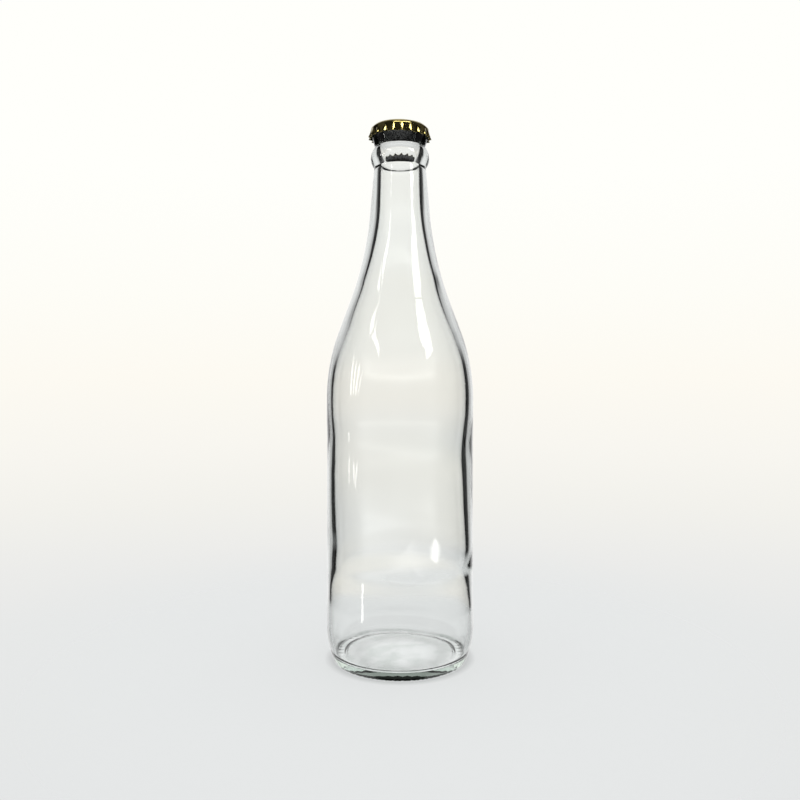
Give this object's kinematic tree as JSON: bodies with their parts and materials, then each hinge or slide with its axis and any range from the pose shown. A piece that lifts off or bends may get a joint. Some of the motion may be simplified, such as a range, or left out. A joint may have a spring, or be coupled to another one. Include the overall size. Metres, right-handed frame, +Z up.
{
  "type": "longneck beer bottle",
  "caption": "Empty clear glass longneck beer bottle: straight body, long sloping shoulder, tapered neck with a rounded bead, closed by a fluted gold crown cap.",
  "frame": {"origin": "centre of the ring that the bottle stands on, on the surface it stands on", "axes": "+Z up along the bottle's axis, from its foot to its cap; X and Y are free, the glass being turned about Z"},
  "size_m": [0.068, 0.068, 0.247],
  "materials": {
    "flint_glass": "clear, polished",
    "gold_lacquered_tinplate": "glossy gold lacquer on tinplate",
    "cap_liner": "soft grey sealing compound"
  },
  "bodies": {
    "root": {"bottle": "flint_glass", "crown_cap": "gold_lacquered_tinplate", "liner": "cap_liner"}
  },
  "joints": []
}
